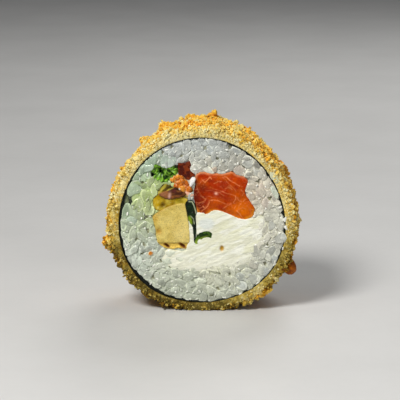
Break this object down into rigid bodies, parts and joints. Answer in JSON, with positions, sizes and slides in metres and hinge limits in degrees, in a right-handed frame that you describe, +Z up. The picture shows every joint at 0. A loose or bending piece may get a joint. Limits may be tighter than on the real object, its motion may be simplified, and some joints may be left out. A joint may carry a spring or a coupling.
{
  "type": "fried sushi roll",
  "caption": "Thick slice of breaded, deep-fried sushi roll standing on its crust, its cut faces showing rice, salmon, cream cheese, omelette and vegetables inside a nori ring.",
  "frame": {"origin": "middle of the small flat foot that the slice rests on, halfway between its cut faces", "axes": "+Z up, -Y out of the front cut face along the roll's axis, +X to the right as the front cut face is seen"},
  "size_m": [0.0593, 0.0257, 0.0587],
  "materials": {
    "fried_crust": "rough golden breadcrumbs",
    "nori": "dark satin",
    "rice": "moist satin",
    "salmon": "moist",
    "cream_cheese": "smooth satin",
    "omelette": "fine porous",
    "tuna": "moist",
    "roe": "glossy",
    "mushroom": "satin",
    "pickled_radish": "moist",
    "lettuce": "satin",
    "cucumber": "moist",
    "spring_onion": "moist"
  },
  "bodies": {
    "root": {"crust": "fried_crust", "nori": "nori", "rice": "rice", "salmon": "salmon", "cream_cheese": "cream_cheese", "omelette": "omelette", "tuna": "tuna", "roe": "roe", "mushroom": "mushroom", "pickled_radish": "pickled_radish", "lettuce": "lettuce", "cucumber": "cucumber", "spring_onion": "spring_onion"}
  },
  "joints": []
}
